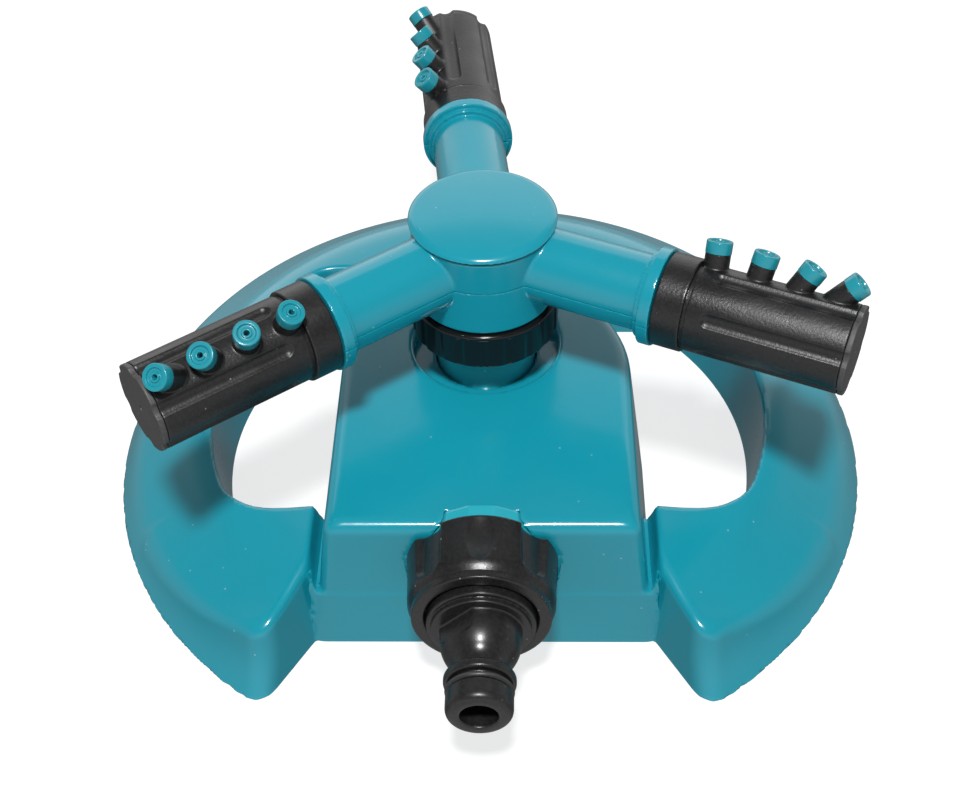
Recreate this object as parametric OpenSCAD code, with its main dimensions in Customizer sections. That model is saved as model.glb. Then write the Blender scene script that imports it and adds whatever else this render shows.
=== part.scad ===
// Three-arm rotary lawn sprinkler on a moulded ring base.
// Millimetres, +Z up, origin on the ground under the axis of the turning head.
// The hose inlet points along -Y. Arm 1 points back, arm 2 left and arm 3 right.

/* [Base] */
// Radius of the base ring on the ground
ring_r = 103; // [100:0.5:106]
// Height of the flat top of the ring
ring_top = 24; // [23:0.5:25]
// Width of the centre block on the ground
block_w = 86; // [84:1:88]
// Height of the centre block
block_h = 41.2; // [40:0.2:42]
// Distance from the head's axis to the front of the block
block_front = 67.5; // [66:0.5:69]
// Thickness of the moulded walls
wall = 2.5; // [2:0.25:3]

/* [Inlet] */
// Height of the hose inlet's axis
inlet_z = 28.6; // [28:0.2:29]
// Distance from the head's axis to the tip of the hose spigot
spigot_tip = 108.5; // [107.5:0.5:109.5]
// Radius of the swivel nut over its lobes
nut_r = 18.4; // [17.8:0.2:18.6]

/* [Head] */
// Height of the three arms' axes
arm_z = 73; // [73:0.5:75]
// Radius of the hub body
hub_r = 18; // [17.5:0.25:18.5]
// Turn of the rear arm from straight back
head_turn = 6.3; // [0:0.1:30]

/* [Arms] */
// Distance from the head's axis to an arm's outer end
arm_len = 94.8; // [94:0.2:100]
// Radius of the nozzle barrels
barrel_r = 10.8; // [10.6:0.1:11]
// Lean of the rear arm's nozzles from upright
lean_rear = 40; // [0:1:60]
// Lean of the left arm's nozzles from upright
lean_left = 27; // [0:1:60]
// Lean of the right arm's nozzles from upright
lean_right = 28; // [0:1:60]

/* [Hidden] */
$fn = 64;
teal = [0.10, 0.52, 0.60];
black = [0.06, 0.06, 0.065];
rubber = [0.03, 0.03, 0.03];
steel = [0.70, 0.71, 0.72];
// how far a cut runs past the solid it cuts
over = 1;
// clearance between the pieces of one body
gap = 0.15;
// radial clearance of a running fit
run = 0.08;

// ring: a steep skirt up to the crease, a coned face up to the flat top
skirt_h = 8;
skirt_in = 5;
cone_r = 76;
cone_fall = (ring_top - skirt_h) / (ring_r - skirt_in - cone_r);
foot_fall = 19.8;
foot_edge = 0.5;
foot_draft = 6;
foot_angle = 60;
foot_tip_r = 5;
foot_wall_in = 2.5;
foot_tip_x = 54.6;
foot_tip_y = 87.3;
foot_gap_w = 80;

// two hand holes, drawn at the flat top and drafted inwards below it
hole_y = -5;
hole_r = 74.6;
hole_front = 43;
hole_rear = 50;
hole_in = 34;
hole_front_r = 18;
hole_rear_r = 12;
hole_draft = 0.108;
groove_bottom = 17.5;
groove_x = 41;
groove_top_x = 43;

// block: drafted walls, a round back and rolled top edges
block_hw = block_w / 2;
block_draft = 0.133;
front_draft = 0.0777;
front_step = 0.05;
block_back = 9;
block_roll = 3.5;
rim_r = 21.5;
rim_h = 2.7;
rim_t = 1.8;
well_floor = 34;
neck_hole_r = 13.3;

// water pipe
neck_r = 13;
neck_top = 54;
neck_bore = 8;
riser_foot = 17;
neck_flange_r = 17;
neck_flange_t = 2;
pipe_r = 9;
pipe_bore = 6.5;
boss_r = 15.2;
boss_back = 59.3;
boss_front = 66.2;
boss_sides = 16;
nose_r = 13;
nose_end = 75;

// pipe strap and its screws
strap_y = 38;
strap_w = 12;
strap_t = 2.5;
strap_half = 21;
post_x = 15.5;
post_r = 4;
screw_r = 1.5;
screw_head_r = 3;

// retaining nut
collar_r = 19;
collar_low = 49.1;
collar_high = 59.6;
collar_floor = 55.2;
flange_r = 12.4;
flange_low = 55.1;
flange_high = 57.1;
stem_r = 10.9;
stem_tube_r = 7.9;
stem_end = 44;
stem_bore = 5.5;
stem_seal_z = 47;

// hub
hub_low = 60;
hub_high = 82.2;
hub_wall = 2.5;
hub_screw_r = 12.6;
cap_r = 18.9;
cap_low = 82.8;
cap_edge = 84;
cap_top = 85.2;
plug_r = 9;
plug_deep = 3;

// arm tubes moulded in two halves with the hub
tube_r = 9.5;
tube_bore = 7.7;
tube_in = 12;
arm_step_r = 10.8;
arm_step_x = 43.6;
arm_flange_r = 12.1;
arm_flange_x = 44.7;
tube_end = 47.8;
snap_x = 25;
snap_w = 2;
snap_r = 8.3;

// barrels
barrel_start = 48.1;
collar_x = 56;
barrel_collar_r = 11.5;
barrel_bore = 5;
cap_t = 1.5;
seal_x = 37;
seal_w = 2.2;
seal_floor = 6.1;
seal_r = 0.77;
flutes = 6;
flute_r = 2.45;
flute_d = 0.95;
flute_x = collar_x + 5.5;
stub_r = 3.05;
tip_r = 3.15;
tip_h = 3;
tip_shank_r = 1.9;
tip_bore = 0.7;
tip_rim_r = 2.2;
tip_eye_r = 1.15;
tip_dish = 0.55;

// hose spigot, stations measured along the inlet from the head's axis
nut_back = 65.2;
nut_front = 82.2;
nut_lobes_end = 79.5;
nut_root_r = 16;
nut_lip_r = 16.6;
nut_mouth_r = 13.3;
spigot_flange_r = 14.3;
spigot_collar_r = 12.9;
washer_t = 1.3;
spigot_neck_r = 6.4;
spigot_bore = 4.3;
land_r = 7.75;
land_back = 103.8;
land_roll = 2.2;

// direction of an arm from the head's axis
function arm_az(i) = 90 + head_turn + 120 * (i - 1);
// lean of an arm's nozzles from upright
function arm_lean(i) = [lean_rear, lean_left, lean_right][i - 1];
// where nozzle j crosses the arm's axis, how far it tilts outwards and how far it stands out
function nozzle_x(j) = [59.3, 67.8, 73.6, 79.1][j - 1];
function nozzle_tilt(j) = [-4.5, 6, 25, 40][j - 1];
function nozzle_reach(j) = [17, 17, 18.2, 20.6][j - 1];
// half-width of the block at height z
function block_at(z) = block_hw - block_draft * z;

// places children on arm i: X runs outwards, Z is the side its nozzles face
module on_arm(i) {
    translate([0, 0, arm_z])
        rotate([0, 0, arm_az(i)])
            rotate([-arm_lean(i), 0, 0])
                children();
}

// places children on arm i without its lean
module on_tube(i) {
    translate([0, 0, arm_z])
        rotate([0, 0, arm_az(i)])
            children();
}

// turns children drawn along Z so that they run outwards along X
module along_x() {
    rotate([0, 90, 0])
        children();
}

// places children on nozzle j of an arm, with Z along the nozzle
module on_nozzle(j) {
    translate([nozzle_x(j), 0, 0])
        rotate([0, nozzle_tilt(j), 0])
            children();
}

// places children on the inlet axis with Z running forwards from the head's axis
module on_inlet() {
    translate([0, 0, inlet_z])
        rotate([90, 0, 0])
            children();
}

// a plain tube from low to high
module tube(r_out, r_in, low, high) {
    translate([0, 0, low])
        difference() {
            cylinder(h = high - low, r = r_out);
            translate([0, 0, -over])
                cylinder(h = high - low + 2 * over, r = r_in);
        }
}

// outer limit of the ring: a steep skirt and a near-upright wall above its crease
module ring_limit(e) {
    rotate_extrude($fn = 128)
        polygon([
            [0, -over],
            [ring_r - e + over * skirt_in / skirt_h, -over],
            [ring_r - skirt_in - e, skirt_h],
            [ring_r - skirt_in - foot_wall_in - e, ring_top - e],
            [0, ring_top - e]
        ]);
}

// coned face of the ring, flat on top, set in by e
module ring_cone(e) {
    slant = sqrt(1 + cone_fall * cone_fall);
    flat_r = cone_r - e * (slant - 1) / cone_fall;
    low_r = ring_r + 2 * wall;
    rotate_extrude($fn = 128)
        polygon([
            [0, -over],
            [low_r, -over],
            [low_r, ring_top - (low_r - cone_r) * cone_fall - e * slant],
            [flat_r, ring_top - e],
            [0, ring_top - e]
        ]);
}

// sloping top of one foot, set in by e
module foot_top(e) {
    translate([block_hw, -hole_front, ring_top - foot_edge])
        rotate([0, foot_fall, 0])
            translate([-block_hw, -ring_r, -ring_r - e])
                cube([2 * ring_r, ring_r, ring_r]);
}

// space in front of the block's drafted front face, grown by e
module front_space(e) {
    tilt = atan(front_draft);
    translate([-ring_r, -block_front + e / cos(tilt), 0])
        rotate([-tilt, 0, 0])
            translate([0, -ring_r, -ring_r])
                cube([2 * ring_r, ring_r, 2 * ring_r]);
}

// space in front of one foot, grown by e
module foot_front(e) {
    translate([block_hw, -block_front, 0])
        rotate([0, 0, -foot_angle])
            rotate([-foot_draft, 0, 0])
                translate([0, -foot_gap_w + e, -ring_r / 2])
                    cube([foot_gap_w, foot_gap_w, ring_r]);
}

// upright corner outside a foot's rounded tip, leaning in by lean degrees
module foot_tip_corner(lean, low, high) {
    intersection() {
        rotate([-foot_draft, -lean, 0])
            translate([0, 0, low - 2 * over])
                linear_extrude(height = 2 * (high - low) + 4 * over)
                    difference() {
                        translate([-foot_tip_r, -4 * foot_tip_r])
                            square([5 * foot_tip_r, 5 * foot_tip_r]);
                        translate([-foot_tip_r, foot_tip_r])
                            circle(r = foot_tip_r);
                    }
        translate([-5 * foot_tip_r, -5 * foot_tip_r, low])
            cube([10 * foot_tip_r, 10 * foot_tip_r, high - low]);
    }
}

// corner taken off the tip of one foot, in step with the skirt and the wall above it
module foot_tip_cut() {
    upper_lean = atan(foot_wall_in / (ring_top - skirt_h));
    translate([foot_tip_x, -foot_tip_y, 0])
        rotate([0, 0, atan2(-foot_tip_y, foot_tip_x)]) {
            foot_tip_corner(atan(skirt_in / skirt_h), -over, skirt_h);
            translate([skirt_h * tan(upper_lean) - skirt_in, 0, 0])
                foot_tip_corner(upper_lean, skirt_h, ring_top + over);
        }
}

// slot between a foot's inner end and the block, grown by e
module foot_groove(e) {
    translate([0, -hole_front + 2 * over, 0])
        rotate([90, 0, 0])
            linear_extrude(height = block_front)
                polygon([
                    [groove_x - 8, groove_bottom - e],
                    [groove_x + e, groove_bottom - e],
                    [groove_top_x + e, ring_top],
                    [groove_top_x + e + 0.3, ring_top + 2 * over],
                    [groove_x - 8, ring_top + 2 * over]
                ]);
}

// ring and feet without their holes, set in by e
module ring_mass(e) {
    difference() {
        intersection() {
            ring_limit(e);
            union() {
                ring_cone(e);
                foot_top(e);
                mirror([1, 0, 0])
                    foot_top(e);
            }
        }
        for (side = [0, 1])
            mirror([side, 0, 0]) {
                foot_front(e);
                foot_groove(e);
            }
        intersection() {
            front_space(e - front_step);
            translate([-block_hw, -ring_r, -ring_r])
                cube([block_w, ring_r, 2 * ring_r]);
        }
    }
}

// one corner region of a hand hole outside the rounding circle
module hole_corner(x, y, dir_a, dir_b, r_low, r_high, low, high) {
    far = 3 * hole_front_r;
    mid = (dir_a + dir_b) / 2;
    translate([x, y, low])
        difference() {
            linear_extrude(height = high - low)
                polygon([
                    [0, 0],
                    [far * cos(dir_a), far * sin(dir_a)],
                    [2 * far * cos(mid), 2 * far * sin(mid)],
                    [far * cos(dir_b), far * sin(dir_b)]
                ]);
            translate([0, 0, -over])
                cylinder(h = high - low + 2 * over, r1 = r_low, r2 = r_high);
        }
}

// right hand hole, grown by e
module hand_hole(e) {
    low = -2 * over;
    high = ring_top + 2 * over;
    tall = high - low;
    grow_low = e - hole_draft * (ring_top - low);
    grow_high = e + hole_draft * (high - ring_top);
    tilt = atan(hole_draft);
    front_x = sqrt(pow(hole_r - hole_front_r, 2) - pow(hole_front_r - hole_front - hole_y, 2));
    front_y = hole_front_r - hole_front;
    rear_y = hole_rear - hole_rear_r;
    rear_x = sqrt(pow(hole_r - hole_rear_r, 2) - pow(rear_y - hole_y, 2));
    difference() {
        intersection() {
            translate([0, hole_y, low])
                cylinder(h = tall, r1 = hole_r + grow_low, r2 = hole_r + grow_high, $fn = 128);
            translate([hole_in - e, -hole_front - e, ring_top])
                rotate([tilt, 0, 0])
                    translate([0, 0, -2 * ring_top])
                        cube([ring_r, ring_r + hole_front, 3 * ring_top]);
            translate([hole_in - e, hole_rear + e, ring_top])
                rotate([-tilt, 0, 0])
                    translate([0, -ring_r - hole_front, -2 * ring_top])
                        cube([ring_r, ring_r + hole_front, 3 * ring_top]);
        }
        hole_corner(front_x, front_y, atan2(front_y - hole_y, front_x), -90,
            hole_front_r + grow_low - hole_draft * over, hole_front_r + grow_high + hole_draft * over,
            low - over, high + over);
        hole_corner(rear_x, rear_y, 90, atan2(rear_y - hole_y, rear_x),
            hole_rear_r + grow_low - hole_draft * over, hole_rear_r + grow_high + hole_draft * over,
            low - over, high + over);
    }
}

// half outline of the block in X and Z with its rolled top edge, set in by e
module block_half(e) {
    roll = max(block_roll - e, 1);
    slope = sqrt(1 + block_draft * block_draft);
    top = block_h - e;
    centre_z = top - roll;
    centre_x = block_at(centre_z) - (e + roll) * slope;
    union() {
        polygon([
            [0, -over],
            [block_at(-over) - e * slope, -over],
            [centre_x + roll / slope, centre_z + roll * block_draft / slope],
            [centre_x, centre_z],
            [centre_x, top],
            [0, top]
        ]);
        translate([centre_x, centre_z])
            circle(r = roll);
    }
}

// centre block set in by e
module block_mass(e) {
    roll = max(block_roll - e, 1);
    slope = sqrt(1 + front_draft * front_draft);
    top = block_h - e;
    roll_z = top - roll;
    roll_y = -block_front + front_draft * roll_z + (e + roll) * slope;
    tilt = atan(front_draft);
    far = 5 * roll;
    difference() {
        union() {
            translate([0, -block_back, 0])
                rotate_extrude($fn = 128)
                    intersection() {
                        block_half(e);
                        translate([0, -2 * over])
                            square([ring_r, ring_r]);
                    }
            translate([0, -block_back, 0])
                rotate([90, 0, 0])
                    linear_extrude(height = block_front)
                        union() {
                            block_half(e);
                            mirror([1, 0])
                                block_half(e);
                        }
        }
        front_space(e);
        translate([ring_r / 2, roll_y, roll_z])
            rotate([90, 0, -90])
                linear_extrude(height = ring_r)
                    difference() {
                        polygon([
                            [0, 0],
                            [far * cos(tilt), far * sin(tilt)],
                            [far, far],
                            [0, far]
                        ]);
                        circle(r = roll);
                    }
    }
}

// hollow inside of the base, open to the ground
module base_hollow() {
    difference() {
        ring_mass(wall);
        for (side = [0, 1])
            mirror([side, 0, 0])
                hand_hole(wall);
    }
    block_mass(wall);
}

module base_shell() {
    color(teal)
        difference() {
            union() {
                difference() {
                    union() {
                        difference() {
                            ring_mass(0);
                            for (side = [0, 1])
                                mirror([side, 0, 0])
                                    hand_hole(0);
                        }
                        block_mass(0);
                    }
                    base_hollow();
                }
                // raised rim round the neck and the cup below it
                translate([0, 0, well_floor])
                    cylinder(h = block_h + rim_h - well_floor, r = rim_r);
                // posts that carry the pipe strap
                for (x = [-post_x, post_x])
                    translate([x, -strap_y, inlet_z - pipe_r + gap])
                        cylinder(h = block_h - wall / 2 - inlet_z + pipe_r - gap, r = post_r);
            }
            translate([0, 0, well_floor + wall])
                cylinder(h = block_h, r = rim_r - rim_t);
            translate([0, 0, well_floor - over])
                cylinder(h = block_h, r = neck_hole_r);
            on_inlet() {
                translate([0, 0, boss_back - gap])
                    cylinder(h = wall + block_front, r = boss_r + gap);
                // channel for the pipe under the cup, and a seat behind the swivel nut
                cylinder(h = boss_back, r = pipe_r + gap);
                translate([0, 0, nut_back - 2 * gap])
                    cylinder(h = wall + block_front, r = nut_r + 3 * gap);
            }
            for (x = [-post_x, post_x])
                translate([x, -strap_y, inlet_z - pipe_r - over])
                    cylinder(h = 12, r = screw_r);
            for (side = [0, 1])
                mirror([side, 0, 0])
                    foot_tip_cut();
            translate([-2 * ring_r, -2 * ring_r, -ring_top])
                cube([4 * ring_r, 4 * ring_r, ring_top]);
        }
}

// riser, elbow, pipe and threaded nose in one moulding
module water_pipe() {
    color(teal)
        difference() {
            union() {
                translate([0, 0, riser_foot])
                    cylinder(h = neck_top - riser_foot, r = neck_r);
                translate([0, 0, well_floor - neck_flange_t - gap])
                    cylinder(h = neck_flange_t, r = neck_flange_r);
                on_inlet() {
                    cylinder(h = nose_end, r = pipe_r);
                    translate([0, 0, boss_back])
                        rotate([0, 0, 180 / boss_sides])
                            cylinder(h = boss_front - boss_back, r = boss_r, $fn = boss_sides);
                    translate([0, 0, boss_back])
                        cylinder(h = nose_end - boss_back, r = nose_r);
                }
            }
            translate([0, 0, riser_foot + wall])
                cylinder(h = neck_top, r = neck_bore);
            on_inlet()
                cylinder(h = nose_end + over, r = pipe_bore);
        }
}

module pipe_strap() {
    color(black)
        translate([0, -strap_y - strap_w / 2, inlet_z - pipe_r])
            difference() {
                translate([-strap_half, 0, -strap_t])
                    cube([2 * strap_half, strap_w, strap_t]);
                for (x = [-post_x, post_x])
                    translate([x, strap_w / 2, -strap_t - over])
                        cylinder(h = strap_t + 2 * over, r = screw_r + gap);
            }
}

module strap_screws() {
    color(steel)
        for (x = [-post_x, post_x])
            translate([x, -strap_y, inlet_z - pipe_r - strap_t - 2])
                difference() {
                    union() {
                        cylinder(h = 2, r = screw_head_r);
                        cylinder(h = 13, r = screw_r);
                    }
                    translate([-screw_head_r, -0.4, -over])
                        cube([2 * screw_head_r, 0.8, over + 0.8]);
                    translate([-0.4, -screw_head_r, -over])
                        cube([0.8, 2 * screw_head_r, over + 0.8]);
                }
}

module bearing_washer() {
    color(black)
        tube(flange_r, neck_bore + 1, neck_top, neck_top + 1);
}

module retaining_nut() {
    flutes = 20;
    color(black)
        difference() {
            union() {
                translate([0, 0, collar_low + 1.2])
                    linear_extrude(height = collar_high - collar_low - 2.2)
                        difference() {
                            circle(r = collar_r, $fn = 128);
                            for (i = [0 : flutes - 1])
                                rotate(i * 360 / flutes)
                                    translate([collar_r + 0.9, 0])
                                        circle(r = 1.5);
                        }
                translate([0, 0, collar_low])
                    cylinder(h = 1.2, r1 = collar_r - 1.2, r2 = collar_r - 0.3);
                translate([0, 0, collar_high - 1])
                    cylinder(h = 1, r1 = collar_r - 0.2, r2 = collar_r - 0.8);
            }
            translate([0, 0, collar_low - over])
                cylinder(h = collar_high, r = stem_r + 0.3);
            translate([0, 0, collar_low - over])
                cylinder(h = neck_top + over - collar_low + over, r = neck_r + 0.05);
            translate([0, 0, neck_top])
                cylinder(h = flange_high + 0.2 - neck_top, r = neck_r + 0.05);
        }
}

// hub, stem and half tubes before they are split on the arms' plane
module hub_solid() {
    difference() {
        union() {
            translate([0, 0, hub_low])
                cylinder(h = hub_high - hub_low, r = hub_r, $fn = 128);
            for (i = [1 : 3])
                on_tube(i)
                    along_x() {
                        translate([0, 0, tube_in])
                            cylinder(h = tube_end - tube_in, r = tube_r);
                        translate([0, 0, arm_step_x])
                            cylinder(h = tube_end - arm_step_x, r = arm_step_r);
                        translate([0, 0, arm_flange_x])
                            cylinder(h = tube_end - arm_flange_x, r = arm_flange_r);
                    }
        }
        translate([0, 0, hub_low + hub_wall])
            cylinder(h = hub_high - hub_low - 2 * hub_wall, r = hub_r - hub_wall);
        for (i = [1 : 3])
            on_tube(i)
                along_x() {
                    cylinder(h = tube_end + over, r = tube_bore);
                    translate([0, 0, snap_x - gap])
                        cylinder(h = snap_w + 2 * gap, r = snap_r + 0.3);
                }
    }
    // posts for the screws that join the two halves
    for (i = [1 : 3])
        rotate([0, 0, arm_az(i) + 60])
            translate([hub_screw_r, 0, hub_low + hub_wall / 2])
                cylinder(h = hub_high - hub_low - hub_wall, r = 3.2);
}

module hub_screw_holes(r, low, high) {
    for (i = [1 : 3])
        rotate([0, 0, arm_az(i) + 60])
            translate([hub_screw_r, 0, low])
                cylinder(h = high - low, r = r);
}

module hub_lower() {
    color(teal)
        difference() {
            union() {
                intersection() {
                    hub_solid();
                    translate([-ring_r, -ring_r, 0])
                        cube([2 * ring_r, 2 * ring_r, arm_z]);
                }
                translate([0, 0, flange_high])
                    cylinder(h = hub_low + over - flange_high, r = stem_r);
                translate([0, 0, flange_low])
                    cylinder(h = flange_high - flange_low, r = flange_r);
                translate([0, 0, stem_end])
                    cylinder(h = flange_high - stem_end, r = stem_tube_r + 0.02);
            }
            translate([0, 0, stem_end - over])
                cylinder(h = hub_low + hub_wall + 2 * over - stem_end, r = stem_bore);
            translate([0, 0, stem_seal_z])
                tube(stem_tube_r + over, stem_tube_r - 1.6, 0, 1.9);
            hub_screw_holes(1.25, hub_low + hub_wall, arm_z + over);
        }
}

module hub_upper() {
    color(teal)
        difference() {
            intersection() {
                hub_solid();
                translate([-ring_r, -ring_r, arm_z])
                    cube([2 * ring_r, 2 * ring_r, arm_z]);
            }
            translate([0, 0, hub_high - 2 * hub_wall])
                cylinder(h = 3 * hub_wall, r = plug_r + gap);
            hub_screw_holes(1.25 + gap, arm_z - over, hub_high + over);
            hub_screw_holes(2.5 + gap, hub_high - 1.6, hub_high + over);
        }
}

// domed cap with a ring plug that snaps into the hub
module hub_cap() {
    rise = cap_top - cap_edge;
    dome_r = (cap_r * cap_r + rise * rise) / (2 * rise);
    color(teal)
        union() {
            intersection() {
                translate([0, 0, cap_low])
                    cylinder(h = cap_top - cap_low + over, r = cap_r, $fn = 128);
                translate([0, 0, cap_top - dome_r])
                    sphere(r = dome_r, $fn = 256);
            }
            tube(plug_r, plug_r - 1.8, hub_high - plug_deep + 0.6, cap_low + 0.2);
        }
}

module hub_screws() {
    color(steel) {
        hub_screw_holes(1.25, hub_low + hub_wall + 1, hub_high - 1);
        difference() {
            hub_screw_holes(2.5, hub_high - 1.5, hub_high - 0.1);
            for (i = [1 : 3])
                rotate([0, 0, arm_az(i) + 60])
                    translate([hub_screw_r - 2, -0.35, hub_high - 0.8])
                        cube([4, 0.7, over]);
        }
    }
}

module stem_seal() {
    color(rubber)
        translate([0, 0, stem_seal_z + 0.95])
            rotate_extrude()
                translate([stem_tube_r - 0.75, 0])
                    circle(r = 0.7);
}

// turned body of a nozzle barrel along Z, before its stubs and bores
module barrel_core() {
    rotate_extrude($fn = 96)
        polygon([
            [0, snap_x],
            [snap_r - 0.8, snap_x],
            [snap_r, snap_x + 1],
            [snap_r, snap_x + snap_w],
            [tube_bore - run, snap_x + snap_w],
            [tube_bore - run, seal_x],
            [seal_floor, seal_x],
            [seal_floor, seal_x + seal_w],
            [tube_bore - run, seal_x + seal_w],
            [tube_bore - run, barrel_start],
            [barrel_collar_r - 0.4, barrel_start],
            [barrel_collar_r, barrel_start + 0.4],
            [barrel_collar_r, collar_x - 0.8],
            [barrel_r - 0.4, collar_x - 0.8],
            [barrel_r - 0.4, collar_x],
            [barrel_r, collar_x],
            [barrel_r, arm_len - cap_t],
            [0, arm_len - cap_t]
        ]);
}

// lengthwise flutes between the nozzles and round the barrel, with round inner ends
module barrel_flutes() {
    for (k = [0 : flutes - 1])
        rotate([(k + 0.5) * 360 / flutes, 0, 0])
            translate([flute_x, 0, barrel_r + flute_r - flute_d]) {
                sphere(r = flute_r);
                along_x()
                    cylinder(h = arm_len, r = flute_r);
            }
}

module barrel(i) {
    color(black)
        on_arm(i)
            difference() {
                union() {
                    difference() {
                        along_x()
                            barrel_core();
                        barrel_flutes();
                    }
                    for (j = [1 : 4])
                        on_nozzle(j)
                            translate([0, 0, barrel_bore])
                                cylinder(h = nozzle_reach(j) - tip_h - barrel_bore, r = stub_r);
                }
                along_x()
                    translate([0, 0, snap_x - over])
                        cylinder(h = arm_len, r = barrel_bore);
                for (j = [1 : 4])
                    on_nozzle(j)
                        cylinder(h = nozzle_reach(j) + over, r = tip_shank_r + gap / 3);
            }
}

// flat end cap with a plug and a small gate mark in its middle
module end_cap(i) {
    color(black)
        on_arm(i)
            difference() {
                along_x()
                    union() {
                        translate([0, 0, arm_len - cap_t])
                            cylinder(h = cap_t - 0.5, r = barrel_r);
                        translate([0, 0, arm_len - 0.5])
                            cylinder(h = 0.5, r1 = barrel_r, r2 = barrel_r - 0.5);
                        tube(barrel_bore - gap / 3, barrel_bore - 1.5, arm_len - cap_t - 3, arm_len - cap_t);
                    }
                along_x()
                    translate([0, 0, arm_len - 0.8])
                        cylinder(h = over, r = 0.7);
                barrel_flutes();
            }
}

module arm_seal(i) {
    color(rubber)
        on_arm(i)
            along_x()
                translate([0, 0, seal_x + seal_w / 2])
                    rotate_extrude()
                        translate([(seal_floor + tube_bore) / 2, 0])
                            circle(r = seal_r);
}

// nozzle tip: a dished head on a shank pressed into its stub
module nozzle_tip(i, j) {
    color(teal)
        on_arm(i)
            on_nozzle(j)
                translate([0, 0, nozzle_reach(j) - tip_h])
                    rotate_extrude()
                        polygon([
                            [tip_bore, -4],
                            [tip_shank_r, -4],
                            [tip_shank_r, 0],
                            [tip_r, 0],
                            [tip_r, tip_h - 0.3],
                            [tip_r - 0.3, tip_h],
                            [tip_rim_r, tip_h],
                            [tip_rim_r - 0.2, tip_h - tip_dish],
                            [tip_eye_r, tip_h - tip_dish],
                            [tip_eye_r, tip_h - 0.1],
                            [tip_bore, tip_h - 0.1]
                        ]);
}

// hose spigot with its clamped flange, collar, neck and rounded front land
module hose_spigot() {
    flange_back = nose_end + washer_t + 2 * gap;
    color(black)
        difference() {
            on_inlet()
                rotate_extrude($fn = 96)
                    union() {
                        polygon([
                            [0, flange_back],
                            [spigot_flange_r, flange_back],
                            [spigot_flange_r, flange_back + 2.2],
                            [spigot_collar_r, flange_back + 2.2],
                            [spigot_collar_r, 83.6],
                            [spigot_collar_r - 0.5, 84.1],
                            [11.8, 84.1],
                            [11.8, 85.4],
                            [9.5, 85.4],
                            [9.5, 92],
                            [8.9, 94],
                            [spigot_neck_r, 97],
                            [spigot_neck_r, 98.8],
                            [7.5, 98.8],
                            [8, 99.3],
                            [8, 100.3],
                            [7.6, 100.8],
                            [6.3, 100.8],
                            [6.3, 103],
                            [land_r - 0.3, 103],
                            [land_r, 103.4],
                            [land_r, spigot_tip - land_roll],
                            [land_r - land_roll, spigot_tip - land_roll],
                            [land_r - land_roll, spigot_tip],
                            [0, spigot_tip]
                        ]);
                        translate([land_r - land_roll, spigot_tip - land_roll])
                            circle(r = land_roll);
                    }
            on_inlet()
                translate([0, 0, nose_end])
                    cylinder(h = spigot_tip, r = spigot_bore);
            // seat for the filter screen
            on_inlet()
                translate([0, 0, flange_back - over])
                    cylinder(h = over + 1.4, r = 8);
            // two spanner flats
            for (side = [-1, 1])
                translate([side * 12.3 - 4, -91.5, inlet_z - 12])
                    cube([8, 6.1, 24]);
        }
}

module spigot_seal() {
    color(rubber)
        on_inlet()
            translate([0, 0, 101.9])
                rotate_extrude()
                    translate([7.15, 0])
                        circle(r = 0.82);
}

// lobed nut that draws the spigot onto the inlet thread
module swivel_nut() {
    lobes = 4;
    lobe_w = 74;
    color(black)
        on_inlet()
            difference() {
                union() {
                    translate([0, 0, nut_back])
                        cylinder(h = nut_front - nut_back - 0.4, r = nut_root_r);
                    translate([0, 0, nut_lobes_end - 1])
                        cylinder(h = nut_front - nut_lobes_end + 1, r1 = nut_r - 1, r2 = nut_lip_r - 0.6);
                    difference() {
                        translate([0, 0, nut_back])
                            cylinder(h = nut_lobes_end - nut_back, r1 = nut_r, r2 = nut_r - 0.9, $fn = 96);
                        // scoops between the lobes, with round front ends
                        for (i = [0 : lobes - 1])
                            rotate([0, 0, 45 + i * 360 / lobes])
                                translate([nut_r + 1.4, 0, nut_back - over]) {
                                    cylinder(h = 10.5, r = 4);
                                    translate([0, 0, 10.5])
                                        sphere(r = 4);
                                }
                        // shallow oval dimple on each lobe
                        for (i = [0 : lobes - 1])
                            rotate([0, 0, 90 + i * 360 / lobes])
                                translate([nut_r + 9.3, 0, nut_back + 7.6])
                                    sphere(r = 10.2);
                    }
                }
                translate([0, 0, nut_back - over])
                    cylinder(h = nut_front, r = nut_mouth_r);
                translate([0, 0, nut_back - over])
                    cylinder(h = nose_end + 0.2 + over - nut_back, r = nose_r + run);
                // counterbore that clears the boss of the inlet
                translate([0, 0, nut_back - over])
                    cylinder(h = boss_front + gap + over - nut_back, r = boss_r + gap);
                translate([0, 0, nose_end - 0.2])
                    cylinder(h = 4.2, r = spigot_flange_r + run);
            }
}

module inlet_washer() {
    color(rubber)
        on_inlet()
            tube(12.6, pipe_bore + 0.3, nose_end + gap, nose_end + gap + washer_t);
}

// woven disc that keeps grit out, drawn as a grid in a rim
module filter_screen() {
    bar = 0.5;
    pitch = 1.5;
    color(steel)
        on_inlet()
            translate([0, 0, nose_end + washer_t + 2 * gap + 0.2]) {
                tube(7.9, 6.4, 0, 1);
                intersection() {
                    cylinder(h = 1, r = 6.8);
                    union()
                        for (k = [-4 : 4]) {
                            translate([-8, k * pitch - bar / 2, 0.2])
                                cube([16, bar, 0.6]);
                            translate([k * pitch - bar / 2, -8, 0.2])
                                cube([bar, 16, 0.6]);
                        }
                }
            }
}

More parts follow.
